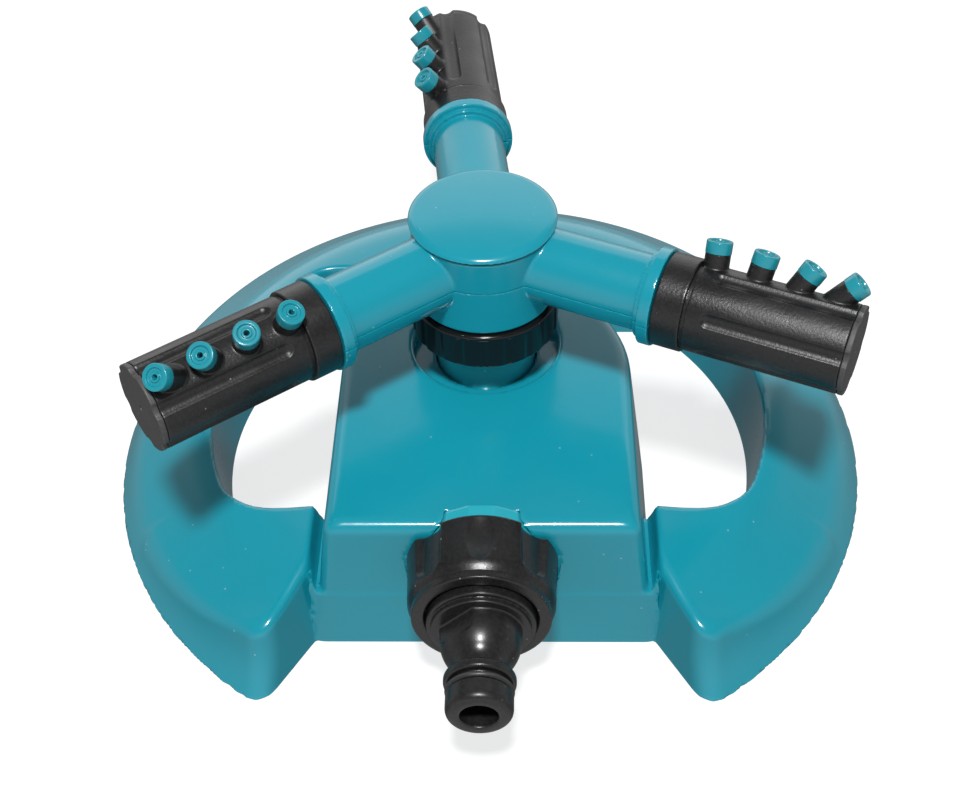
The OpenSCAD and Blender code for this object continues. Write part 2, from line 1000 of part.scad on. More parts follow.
base_shell();
water_pipe();
pipe_strap();
strap_screws();
bearing_washer();
retaining_nut();
hub_lower();
hub_upper();
hub_cap();
hub_screws();
stem_seal();
barrel(1);  // barrel_1
barrel(2);  // barrel_2
barrel(3);  // barrel_3
end_cap(1);  // end_cap_1
end_cap(2);  // end_cap_2
end_cap(3);  // end_cap_3
arm_seal(1);  // arm_seal_1
arm_seal(2);  // arm_seal_2
arm_seal(3);  // arm_seal_3
nozzle_tip(1, 1);  // tip_1_1
nozzle_tip(1, 2);  // tip_1_2
nozzle_tip(1, 3);  // tip_1_3
nozzle_tip(1, 4);  // tip_1_4
nozzle_tip(2, 1);  // tip_2_1
nozzle_tip(2, 2);  // tip_2_2
nozzle_tip(2, 3);  // tip_2_3
nozzle_tip(2, 4);  // tip_2_4
nozzle_tip(3, 1);  // tip_3_1
nozzle_tip(3, 2);  // tip_3_2
nozzle_tip(3, 3);  // tip_3_3
nozzle_tip(3, 4);  // tip_3_4
hose_spigot();
spigot_seal();
swivel_nut();
inlet_washer();
filter_screen();
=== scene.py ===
"""Looks of the three-arm lawn sprinkler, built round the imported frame.

Fields give the distance to a shape's surface in millimetres, below zero inside it.
Meshes are drawn from the fields, scaled to metres and left in the row frame.
"""
import math
from itertools import product

import bpy
import numpy as np
from mathutils import Matrix, Vector


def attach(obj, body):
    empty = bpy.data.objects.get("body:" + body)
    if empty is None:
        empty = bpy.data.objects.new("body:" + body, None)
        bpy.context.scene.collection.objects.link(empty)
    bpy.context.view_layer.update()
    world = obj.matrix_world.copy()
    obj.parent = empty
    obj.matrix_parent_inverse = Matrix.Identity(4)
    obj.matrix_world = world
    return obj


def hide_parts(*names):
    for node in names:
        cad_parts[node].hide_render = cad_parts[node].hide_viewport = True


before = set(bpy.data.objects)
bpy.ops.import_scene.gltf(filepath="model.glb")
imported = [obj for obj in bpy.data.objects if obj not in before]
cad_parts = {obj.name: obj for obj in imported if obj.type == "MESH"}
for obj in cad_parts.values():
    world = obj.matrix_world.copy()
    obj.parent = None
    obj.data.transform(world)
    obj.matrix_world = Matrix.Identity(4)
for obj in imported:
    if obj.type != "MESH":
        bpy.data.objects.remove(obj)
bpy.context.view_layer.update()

MM = 0.001
COARSE = 1.0
# cosine of the turn beyond which a face keeps its own direction at a corner
SHARP = math.cos(math.radians(28))

# ---- driving dimensions, in millimetres ----
# base: ring, feet, block, hand holes and the well round the neck
RING_R = 103.0
RING_TOP = 24.0
SKIRT_H = 8.0
CREASE_R = 98.0
WALL_TOP_R = 95.5
CONE_R = 76.0
FOOT_FALL = math.radians(19.8)
FOOT_TOP_Z = 23.5
FOOT_TURN = math.radians(30)
FOOT_LEAN = math.radians(6)
BLOCK_HW = 43.0
BLOCK_H = 41.2
BLOCK_FRONT = 67.5
BLOCK_BACK = 9.0
BLOCK_DRAFT = 0.133
FRONT_DRAFT = 0.0777
BLOCK_ROLL = 3.5
WALL = 2.5
HOLE_Y = -5.0
HOLE_R = 74.6
HOLE_FRONT = 43.0
HOLE_REAR = 50.0
HOLE_IN = 34.0
HOLE_DRAFT = 0.108
FRONT_CORNER_R = 18.0
REAR_CORNER_R = 12.0
GROOVE_X = 41.0
GROOVE_LOW = 17.5
GROOVE_SLANT = 2.0
CUP_R = 21.3
WELL_R = 19.3
WELL_FLOOR = 36.5
NECK_HOLE_R = 13.3
NUT_SEAT_R = 18.85
NUT_SEAT_Y = 64.9
POST_X = 15.5
POST_Y = 38.0
POST_LOW = 19.8
POST_R = 4.0
SCREW_R = 1.5
SCREW_TOP = 32.0
RISER_FROM = 30.0
SLIP = 0.15

# water pipe and the retaining nut on its neck
INLET_Z = 28.6
PIPE_R = 7.6
PIPE_BORE = 6.5
NECK_R = 13.0
NECK_LOW = 17.0
NECK_TOP = 54.0
NECK_BORE = 8.0
FLANGE_R = 17.0
FLANGE_LOW = 31.9
FLANGE_HIGH = 33.9
THREAD_PITCH = 1.814
THREAD_START = 67.2
NUT_R = 19.0
NUT_LOW = 49.1
NUT_HIGH = 59.6
NUT_FLUTES = 20
NUT_FLUTE_R = 1.5
NUT_FLUTE_AT = 20.1
NUT_FLUTE_TOP = 58.3
NUT_BORE = 13.1
NUT_ROOF = 57.3
NUT_HOLE_R = 11.2
BOSS_R = 15.2
BOSS_FLAT = 14.91
BOSS_BACK = 59.3
BOSS_FRONT = 66.2
NOSE_R = 13.0
NOSE_END = 75.0

# hub, its arm tubes and its cap
ARM_Z = 73.0
HUB_R = 18.0
HUB_LOW = 60.0
HUB_HIGH = 82.2
TUBE_R = 9.5
TUBE_BORE = 7.7
TUBE_END = 47.8
STEP_R = 10.8
STEP_X = 43.6
COLLAR_R = 12.1
COLLAR_BACK = 44.8
# half the gap where the hub's two halves meet
SPLIT = 0.03
STEM_R = 10.9
STEM_TUBE_R = 7.9
STEM_ROOF = 64.0
STEM_BORE = 5.5
STEM_END = 44.0
LIP_R = 12.4
LIP_LOW = 55.1
LIP_HIGH = 57.1
CAP_R = 18.9
CAP_LOW = 82.8
CAP_EDGE = 83.9
CAP_TOP = 85.2
PLUG_R = 8.9
PLUG_LOW = 79.9
PLUG_SLIP = 0.25

# arms and their nozzles
ARM_AZ = [96.3, 216.3, 336.3]
ARM_LEAN = [40.0, 27.0, 28.0]
BARREL_START = 48.1
COLLAR_X = 56.0
BARREL_R = 10.8
SLEEVE_R = 11.5
FLUTE_R = 2.45
FLUTE_OUT = 1.5
FLUTE_START = 5.5
CAP_X = 93.3
ARM_LEN = 94.8
NOZZLE_X = [59.3, 67.8, 73.6, 79.1]
NOZZLE_TILT = [-4.5, 6.0, 25.0, 40.0]
NOZZLE_REACH = [17.0, 17.0, 18.2, 20.6]
TIP_H = 3.0
TIP_R = 3.15
STUB_R = 3.05

# hose spigot and swivel nut, in stations along the inlet from the head's axis
TRUNK_R = 9.6
TRUNK_END = 91.2
TRUNK_FALL = 3.2
TRUNK_RUN = 4.6
TRUNK_FLAT = 7.9
SPIGOT_NECK_R = 6.6
RIB_R = 8.35
LAND_R = 7.75
LAND_BACK = 103.0
SPIGOT_END = 108.5
SPIGOT_BORE = 4.3
LOBE_R = 18.4
LOBE_BACK = 65.2
LOBE_FALL = 0.06
MOUTH_R = 13.35
SWIVEL_LIP_R = 16.5
SWIVEL_END = 82.2


# ---- fields ----
def hyp(a, b):
    """Distance from the origin of a point at a and b."""
    return np.sqrt(a * a + b * b)


def both(a, b, r):
    """What lies inside a and inside b, with the edge rolled off from r away on each side."""
    return np.maximum(a, b) + np.maximum(r - np.abs(a - b), 0) ** 2 / (4 * r)


def either(a, b, r):
    """What lies inside a or inside b, with a fillet that starts r away on each side."""
    return np.minimum(a, b) - np.maximum(r - np.abs(a - b), 0) ** 2 / (4 * r)


def less(a, b, r):
    """a with b cut out of it, with the new edge rounded to r."""
    return both(a, -b, r)


def disc(radius, along, big, low, high, r):
    """A turned disc or cylinder: radius and along are the points' own, big is its size."""
    return both(radius - big, np.abs(along - (low + high) / 2) - (high - low) / 2, r)


def hand_hole(ax, y, z):
    """Hand hole beside the block, drafted inwards below the ring's flat top."""
    shrink = HOLE_DRAFT * (RING_TOP - z)
    hole = np.maximum.reduce([
        hyp(ax, y - HOLE_Y) - HOLE_R + shrink,
        -(y + HOLE_FRONT) + shrink,
        y - HOLE_REAR + shrink,
        HOLE_IN - ax,
    ])
    front_y = FRONT_CORNER_R - HOLE_FRONT
    front_x = math.sqrt((HOLE_R - FRONT_CORNER_R) ** 2 - (front_y - HOLE_Y) ** 2)
    rear_y = HOLE_REAR - REAR_CORNER_R
    rear_x = math.sqrt((HOLE_R - REAR_CORNER_R) ** 2 - (rear_y - HOLE_Y) ** 2)
    for cx, cy, r, side in ((front_x, front_y, FRONT_CORNER_R, -1), (rear_x, rear_y, REAR_CORNER_R, 1)):
        px, py = ax - cx, y - cy
        in_corner = (px > 0) & (side * (cx * py - (cy - HOLE_Y) * px) > 0)
        hole = np.where(in_corner, hyp(px, py) - r + shrink, hole)
    return hole


def block_field(ax, y, z):
    """Centre block, and the plane of its front face."""
    reach = np.where(y < -BLOCK_BACK, ax, hyp(ax, y + BLOCK_BACK))
    side = (reach - BLOCK_HW + BLOCK_DRAFT * z) / math.hypot(1, BLOCK_DRAFT)
    front = -(y + BLOCK_FRONT - FRONT_DRAFT * z) / math.hypot(1, FRONT_DRAFT)
    return both(both(side, front, 3.0), z - BLOCK_H, BLOCK_ROLL), front


def ring_field(ax, y, z, block_face):
    """Ring with its two sloping feet, hand holes and slots beside the block."""
    radius = hyp(ax, y)
    skirt_in = RING_R - CREASE_R
    skirt = ((radius - RING_R) * SKIRT_H + z * skirt_in) / math.hypot(SKIRT_H, skirt_in)
    wall_in, wall_h = CREASE_R - WALL_TOP_R, RING_TOP - SKIRT_H
    wall = ((radius - CREASE_R) * wall_h + (z - SKIRT_H) * wall_in) / math.hypot(wall_h, wall_in)
    cone_in = CREASE_R - CONE_R
    cone = ((radius - CREASE_R) * wall_h + (z - SKIRT_H) * cone_in) / math.hypot(wall_h, cone_in)
    foot = (ax - BLOCK_HW) * math.sin(FOOT_FALL) + (z - FOOT_TOP_Z) * math.cos(FOOT_FALL)
    foot = np.maximum(foot, y + HOLE_FRONT - 2)
    top = either(both(cone, z - RING_TOP, 5.0), foot, 5.0)
    # inner face of the foot, running out from the block's corner to the tip
    across = (ax - BLOCK_HW) * math.cos(FOOT_TURN) + (y + BLOCK_FRONT) * math.sin(FOOT_TURN)
    inner = z * math.sin(FOOT_LEAN) - across * math.cos(FOOT_LEAN)
    inner = np.minimum(inner, np.maximum(ax - BLOCK_HW, block_face + 0.4))
    side = both(either(skirt, wall, 3.0), inner, 6.0)
    body = both(side, top, 3.0)
    body = less(body, hand_hole(ax, y, z), 1.6)
    # slot between the foot's inner end and the block
    deep = RING_TOP - GROOVE_LOW
    slot = ((GROOVE_X - ax) * deep + (z - GROOVE_LOW) * GROOVE_SLANT) / math.hypot(deep, GROOVE_SLANT)
    slot = np.minimum(either(z - GROOVE_LOW, slot, 1.0), -(y + HOLE_FRONT - 4))
    return both(body, slot, 1.2)


def base_field(x, y, z):
    """Whole base moulding, open underneath."""
    ax, radius = np.abs(x), hyp(x, y)
    block, face = block_field(ax, y, z)
    body = either(ring_field(ax, y, z, face), block, 1.4)
    cup = disc(radius, z, CUP_R, WELL_FLOOR - WALL, BLOCK_H - 1, 0.3)
    well = np.maximum(radius - WELL_R, WELL_FLOOR - z)
    hollow = np.maximum(body + WALL, -cup)
    body = less(body, well, 1.3)
    body = np.maximum(body, -z)
    shell = less(body, hollow, 0.3)
    # posts that carry the pipe strap
    from_post = hyp(ax - POST_X, y + POST_Y)
    post = disc(from_post, z, POST_R, POST_LOW, BLOCK_H - 1, 0.4)
    shell = np.minimum(shell, less(post, np.maximum(from_post - SCREW_R, z - SCREW_TOP), 0.1))
    shell = less(shell, np.maximum(radius - NECK_HOLE_R, RISER_FROM - z), 0.4)
    from_inlet = hyp(x, z - INLET_Z)
    shell = less(shell, np.maximum(from_inlet - BOSS_R - SLIP, y + BOSS_BACK - SLIP), 0.5)
    # seat behind the swivel nut
    return less(shell, np.maximum(from_inlet - NUT_SEAT_R, y + NUT_SEAT_Y), 0.3)


def pipe_field(x, y, z):
    """Water pipe from the neck to the threaded nose of the inlet."""
    radius, inlet = hyp(x, y), hyp(x, z - INLET_Z)
    # the boss behind the nut has sixteen sides
    turns = [math.radians(a) for a in np.arange(0, 180, 22.5)]
    flats = np.maximum.reduce([np.abs(x * math.sin(a) + (z - INLET_Z) * math.cos(a)) for a in turns])
    body = disc(radius, z, NECK_R, NECK_LOW, NECK_TOP, 0.5)
    body = either(body, disc(inlet, -y, PIPE_R, 0.0, NOSE_END, 0.5), 1.5)
    body = np.minimum(body, disc(radius, z, FLANGE_R, FLANGE_LOW, FLANGE_HIGH, 0.3))
    body = np.minimum(body, disc(flats, -y, BOSS_FLAT, BOSS_BACK, BOSS_FRONT, 0.5))
    nose = disc(inlet, -y, NOSE_R, BOSS_BACK, NOSE_END, 0.6)
    wound = THREAD_PITCH * np.arctan2(z - INLET_Z, x) / (2 * math.pi)
    ridge = np.abs((-y - 66.5 + wound) % THREAD_PITCH - THREAD_PITCH / 2)
    cut_thread = np.maximum(inlet - 20, THREAD_START + y)
    nose = less(nose, both(NOSE_R - 0.75 - inlet + 1.2 * ridge, cut_thread, 0.1), 0.1)
    body = np.minimum(body, nose)
    riser = np.maximum(radius - NECK_BORE, NECK_LOW + WALL - z)
    bores = np.minimum(riser, np.maximum(inlet - PIPE_BORE, y))
    return less(body, bores, 0.3)


def nut_field(x, y, z):
    """Fluted retaining nut on the neck."""
    radius, turn = hyp(x, y), np.arctan2(y, x)
    pitch = 2 * math.pi / NUT_FLUTES
    local = (turn + pitch / 2) % pitch - pitch / 2
    flute = hyp(radius * np.cos(local) - NUT_FLUTE_AT, radius * np.sin(local)) - NUT_FLUTE_R
    body = disc(radius, z, NUT_R, NUT_LOW, NUT_HIGH, 1.0)
    body = less(body, np.maximum(flute, z - NUT_FLUTE_TOP), 0.25)
    bore = np.minimum(np.maximum(radius - NUT_BORE, z - NUT_ROOF), radius - NUT_HOLE_R)
    return less(body, bore, 0.3)


def hub_whole(x, y, z):
    """Hub and half tubes in one, before they are split on the arms' plane."""
    radius = hyp(x, y)
    body = disc(radius, z, HUB_R, HUB_LOW, HUB_HIGH, 0.7)
    body = less(body, disc(radius, z, HUB_R - WALL, HUB_LOW + WALL, HUB_HIGH - WALL, 0.5), 0.3)
    bores = None
    for azimuth in ARM_AZ:
        a = math.radians(azimuth)
        along = x * math.cos(a) + y * math.sin(a)
        rho = hyp(y * math.cos(a) - x * math.sin(a), z - ARM_Z)
        tube = disc(rho, along, TUBE_R, 12.0, TUBE_END, 0.3)
        tube = either(tube, disc(rho, along, STEP_R, STEP_X, TUBE_END, 0.35), 0.4)
        tube = either(tube, disc(rho, along, COLLAR_R, COLLAR_BACK, TUBE_END, 0.4), 0.3)
        body = either(body, tube, 0.7)
        bore = np.maximum(rho - TUBE_BORE, -along)
        bores = bore if bores is None else np.minimum(bores, bore)
    return less(body, bores, 0.2)


def hub_lower_field(x, y, z):
    """Lower half of the hub, with the stem that turns in the neck."""
    radius = hyp(x, y)
    body = both(hub_whole(x, y, z), z - ARM_Z + SPLIT, 0.25)
    stem = disc(radius, z, STEM_R, LIP_HIGH, HUB_LOW + 1, 0.2)
    flange = disc(radius, z, LIP_R, LIP_LOW, LIP_HIGH, 0.3)
    tube = disc(radius, z, STEM_TUBE_R, STEM_END, HUB_LOW, 0.3)
    body = np.minimum(np.minimum(body, stem), np.minimum(flange, tube))
    return less(body, np.maximum(radius - STEM_BORE, z - STEM_ROOF), 0.2)


def hub_upper_field(x, y, z):
    """Upper half of the hub, with the hole for the cap's plug."""
    body = both(hub_whole(x, y, z), ARM_Z + SPLIT - z, 0.25)
    return less(body, np.maximum(hyp(x, y) - PLUG_R - PLUG_SLIP, 77 - z), 0.2)


def cap_field(x, y, z):
    """Crowned disc on top of the hub, with its plug."""
    radius = hyp(x, y)
    rise = CAP_TOP - CAP_EDGE
    ball = (CAP_R ** 2 + rise ** 2) / (2 * rise)
    dome = np.sqrt(radius ** 2 + (z - CAP_TOP + ball) ** 2) - ball
    lid = both(both(dome, radius - CAP_R, 2.6), CAP_LOW - z, 0.3)
    return np.minimum(lid, disc(radius, z, PLUG_R, PLUG_LOW, CAP_LOW + 0.7, 0.4))


def flute_field(x, y, z):
    """Six lengthwise flutes with round inner ends, cut into a barrel and its end cap."""
    rho, turn = hyp(y, z), np.arctan2(y, z)
    pitch = math.pi / 3
    local = turn % pitch - pitch / 2
    side = hyp(rho * np.cos(local) - BARREL_R - FLUTE_OUT, rho * np.sin(local))
    return hyp(side, np.maximum(COLLAR_X + FLUTE_START - x, 0)) - FLUTE_R


def barrel_field(x, y, z):
    """Nozzle barrel along X, with its four nozzle stubs on the Z side."""
    rho = hyp(y, z)
    body = disc(rho, x, SLEEVE_R, BARREL_START, COLLAR_X - 0.8, 0.4)
    body = np.minimum(body, disc(rho, x, BARREL_R - 0.45, BARREL_START + 2, COLLAR_X + 1, 0.1))
    body = np.minimum(body, disc(rho, x, BARREL_R, COLLAR_X, CAP_X, 0.3))
    body = less(body, flute_field(x, y, z), 0.3)
    for cx, tilt, reach in zip(NOZZLE_X, NOZZLE_TILT, NOZZLE_REACH):
        t = math.radians(tilt)
        along = (x - cx) * math.sin(t) + z * math.cos(t)
        from_axis = hyp((x - cx) * math.cos(t) - z * math.sin(t), y)
        body = either(body, disc(from_axis, along, STUB_R, 4.0, reach - TIP_H, 0.2), 0.5)
    return body


def end_cap_field(x, y, z):
    """Disc on a barrel's outer end, with the flutes run through it and a gate mark."""
    rho = hyp(y, z)
    body = disc(rho, x, BARREL_R, CAP_X + 0.08, ARM_LEN, 0.35)
    body = less(body, flute_field(x, y, z), 0.25)
    gate = np.maximum(rho - 0.75, ARM_LEN - 0.9 - x)
    return less(body, gate, 0.12)


def spigot_field(x, y, z):
    """Hose spigot, with its clamped flange at the back and its land at the front."""
    h, s = z - INLET_Z, -y
    r = hyp(x, h)
    body = disc(r, s, 14.3, 76.6, 78.8, 0.3)
    body = np.minimum(body, disc(r, s, 12.9, 78.0, 84.1, 0.5))
    body = either(body, disc(r, s, 11.8, 83.0, 85.5, 0.4), 0.2)
    taper = (r - TRUNK_R) * TRUNK_RUN + (s - TRUNK_END) * TRUNK_FALL
    taper = taper / math.hypot(TRUNK_RUN, TRUNK_FALL)
    trunk = both(both(r - TRUNK_R, taper, 2.0), np.abs(s - 90) - 7.5, 0.2)
    # two spanner flats, on a slant and round at their front ends
    across, along = (h - x) / math.sqrt(2), (h + x) / math.sqrt(2)
    flat = both(TRUNK_FLAT - np.abs(across), hyp(np.maximum(s - 87.6, 0), along * 0.35) - 3.6, 0.8)
    trunk = less(trunk, flat, 0.3)
    body = either(body, trunk, 0.5)
    body = either(body, disc(r, s, SPIGOT_NECK_R, 90.0, 104.0, 0.2), 1.2)
    body = either(body, disc(r, s, RIB_R, 97.9, 100.4, 0.9), 0.5)
    # land, with a rounded nose and a square shoulder
    land = both(r - LAND_R, s - SPIGOT_END, 2.3)
    land = both(land, LAND_BACK - s, 0.35)
    body = either(body, land, 0.2)
    body = less(body, r - SPIGOT_BORE, 0.7)
    return less(body, np.maximum(r - 8.0, s - 78.1), 0.1)


def swivel_field(x, y, z):
    """Swivel nut with four lobes, a scoop between each pair and a dimple on each."""
    h, s = z - INLET_Z, -y
    r, turn = hyp(x, h), np.arctan2(x, h)
    quarter = math.pi / 2
    lobe = (turn + quarter / 2) % quarter - quarter / 2
    scoop = turn % quarter - quarter / 2
    body = both(both(r - LOBE_R + LOBE_FALL * (s - LOBE_BACK), LOBE_BACK - s, 0.8), s - 80.2, 0.8)
    body = both(body, ((r - 17.4) * 3.0 + (s - 78.6) * 1.7) / math.hypot(3.0, 1.7), 0.5)
    side = hyp(r * np.cos(scoop) - 20.2, np.maximum(np.abs(r * np.sin(scoop)) - 0.8, 0))
    body = less(body, hyp(side, np.maximum(s - 74.6, 0) * 0.85) - 4.3, 0.25)
    dimple = hyp(hyp(r * np.cos(lobe) - 24.0, r * np.sin(lobe)), (s - 72.4) / 1.7) - 7.2
    body = less(body, dimple, 0.12)
    body = either(body, disc(r, s, SWIVEL_LIP_R, 66.0, SWIVEL_END, 0.45), 0.2)
    mouth = np.maximum(r - MOUTH_R, 70 - s)
    body = less(body, mouth, 0.6)
    seat = np.minimum(np.maximum(r - 13.1, s - 76), np.maximum(r - 14.4, np.abs(s - 76.9) - 2.1))
    return less(body, np.minimum(seat, np.maximum(r - 15.35, s - 66.35)), 0.1)


# ---- meshes from fields ----
# how strongly a cell's point is held to the middle of its crossings
HOLD = 0.05


def slope_at(field, points, reach):
    """How field changes along X, Y and Z at each point."""
    parts = []
    for axis in range(3):
        shift = np.zeros(3)
        shift[axis] = reach
        parts.append(field(*(points + shift).T) - field(*(points - shift).T))
    return np.stack(parts, axis=1) / (2 * reach)


def net(field, low, high, step):
    """Points and quads on the surface where field is zero, one point in each cell it crosses.

    A cell's point is the best fit to the planes that touch the surface on the cell's edges,
    so crisp edges and corners stay where they belong.
    """
    axes = [np.arange(a, b + step, step) for a, b in zip(low, high)]
    values = field(*[g.astype(np.float32) for g in np.meshgrid(*axes, indexing="ij")])
    inside = values < 0
    size = np.array(values.shape)
    unit = np.eye(3, dtype=int)
    number = np.full(size - 1, -1)
    crossings, edges, quads = [], [], []
    for axis in range(3):
        first = np.take(inside, range(size[axis] - 1), axis)
        second = np.take(inside, range(1, size[axis]), axis)
        edge = np.argwhere(first != second)
        others = [w for w in range(3) if w != axis]
        edge = edge[np.all([(edge[:, w] > 0) & (edge[:, w] < size[w] - 1) for w in others], axis=0)]
        a = values[tuple(edge.T)].astype(float)
        b = values[tuple((edge + unit[axis]).T)].astype(float)
        point = edge.astype(float)
        point[:, axis] += a / (a - b)
        crossings.append(point * step + np.array(low))
        u, v = (axis + 1) % 3, (axis + 2) % 3
        around = np.stack([edge - unit[u] - unit[v], edge - unit[v], edge, edge - unit[u]], axis=1)
        edges.append(around)
        outward = first[tuple(edge.T)]
        quads.append(np.where(outward[:, None, None], around, around[:, ::-1]))
    around = np.vstack(edges)
    flat = np.ravel_multi_index(around.reshape(-1, 3).T, number.shape)
    cells, owner = np.unique(flat, return_inverse=True)
    number.ravel()[cells] = np.arange(len(cells))
    points = np.vstack(crossings)
    normals = slope_at(field, points, step * 0.05)
    normals /= np.maximum(np.linalg.norm(normals, axis=1, keepdims=True), 1e-9)
    points, normals = np.repeat(points, 4, axis=0), np.repeat(normals, 4, axis=0)
    count = np.bincount(owner)
    mean = np.stack([np.bincount(owner, points[:, w]) for w in range(3)], axis=1) / count[:, None]
    offset = points - mean[owner]
    reach = (normals * offset).sum(1)
    square = np.zeros((len(cells), 3, 3))
    for m, n in product(range(3), repeat=2):
        square[:, m, n] = np.bincount(owner, normals[:, m] * normals[:, n]) + HOLD * (m == n)
    pull = np.stack([np.bincount(owner, normals[:, w] * reach) for w in range(3)], axis=1)
    move = np.linalg.solve(square, pull[:, :, None])[:, :, 0]
    corner = np.stack(np.unravel_index(cells, number.shape), axis=1) * step + np.array(low)
    faces = number[tuple(np.vstack(quads).transpose(2, 0, 1))]
    return np.clip(mean + move, corner, corner + step), faces


def draw(name, field, low, high, step, place=None):
    """An object whose surface is where field is zero; place puts it in the row frame."""
    step = step * COARSE
    points, quads = net(field, low, high, step)
    for _ in range(2):
        slope = slope_at(field, points, step * 0.05)
        steep = (slope ** 2).sum(1)
        # points on a crisp edge are placed already, and show there as a weak slope
        shift = -slope * (field(*points.T) / steep.clip(0.3) * (steep > 0.42))[:, None]
        length = np.maximum(np.linalg.norm(shift, axis=1, keepdims=True), 1e-9)
        points = points + shift * np.minimum(1, 0.15 * step / length)
    normals = slope_at(field, points, step * 0.35)
    normals /= np.maximum(np.linalg.norm(normals, axis=1, keepdims=True), 1e-9)
    mesh = bpy.data.meshes.new(name)
    mesh.from_pydata((points * MM).tolist(), [], quads.tolist())
    mesh.polygons.foreach_set("use_smooth", [True] * len(quads))
    # a corner keeps its face's own direction where the surface turns sharply
    corners = points[quads]
    flat = np.cross(corners[:, 2] - corners[:, 0], corners[:, 3] - corners[:, 1])
    flat /= np.maximum(np.linalg.norm(flat, axis=1, keepdims=True), 1e-9)
    loops = normals[quads]
    sharp = (loops * flat[:, None]).sum(2) < SHARP
    loops = np.where(sharp[:, :, None], flat[:, None], loops)
    mesh.normals_split_custom_set(loops.reshape(-1, 3).tolist())
    if place is not None:
        mesh.transform(place)
    return add(name, mesh)


def add(name, mesh):
    """A new object in the scene that shows mesh."""
    piece = bpy.data.objects.new(name, mesh)
    bpy.context.scene.collection.objects.link(piece)
    return piece


def rounded(corners, steps=5):
    """Outline through corners (r, along, radius), each turned with its own radius."""
    outline = []
    for k, (r, s, radius) in enumerate(corners):
        here = Vector((r, s))
        if radius == 0 or k in (0, len(corners) - 1):
            outline.append(here)
            continue
        back = (Vector(corners[k - 1][:2]) - here).normalized()
        ahead = (Vector(corners[k + 1][:2]) - here).normalized()
        half = back.angle(ahead) / 2
        start, end = here + back * radius / math.tan(half), here + ahead * radius / math.tan(half)
        centre = here + (back + ahead).normalized() * radius / math.sin(half)
        a, b = start - centre, end - centre
        sweep = a.angle(b)
        for n in range(steps + 1):
            t = n / steps
            mix = a * math.sin((1 - t) * sweep) + b * math.sin(t * sweep)
            outline.append(centre + mix / math.sin(sweep))
    return outline


def turned(name, corners, place, segments=96):
    """A turned piece about Z from a closed outline, moved by place."""
    outline = rounded(corners)
    count = len(outline)
    points, faces = [], []
    for k in range(segments):
        a = 2 * math.pi * k / segments
        points += [(p.x * math.cos(a) * MM, p.x * math.sin(a) * MM, p.y * MM) for p in outline]
        ahead = (k + 1) % segments
        for n in range(count):
            m = (n + 1) % count
            faces.append((k * count + n, ahead * count + n, ahead * count + m, k * count + m))
    mesh = bpy.data.meshes.new(name)
    mesh.from_pydata(points, [], faces)
    mesh.validate()
    mesh.transform(place)
    mesh.polygons.foreach_set("use_smooth", [True] * len(mesh.polygons))
    mesh.set_sharp_from_angle(angle=math.radians(35))
    return add(name, mesh)


def turn(degrees, axis):
    """Turn about one of the axes of the row frame."""
    return Matrix.Rotation(math.radians(degrees), 4, axis)


def arm_place(i):
    """Frame of an arm: X runs outwards, and Z is the side that its nozzles face."""
    lift = Matrix.Translation((0, 0, ARM_Z * MM))
    return lift @ turn(ARM_AZ[i], "Z") @ turn(-ARM_LEAN[i], "X")


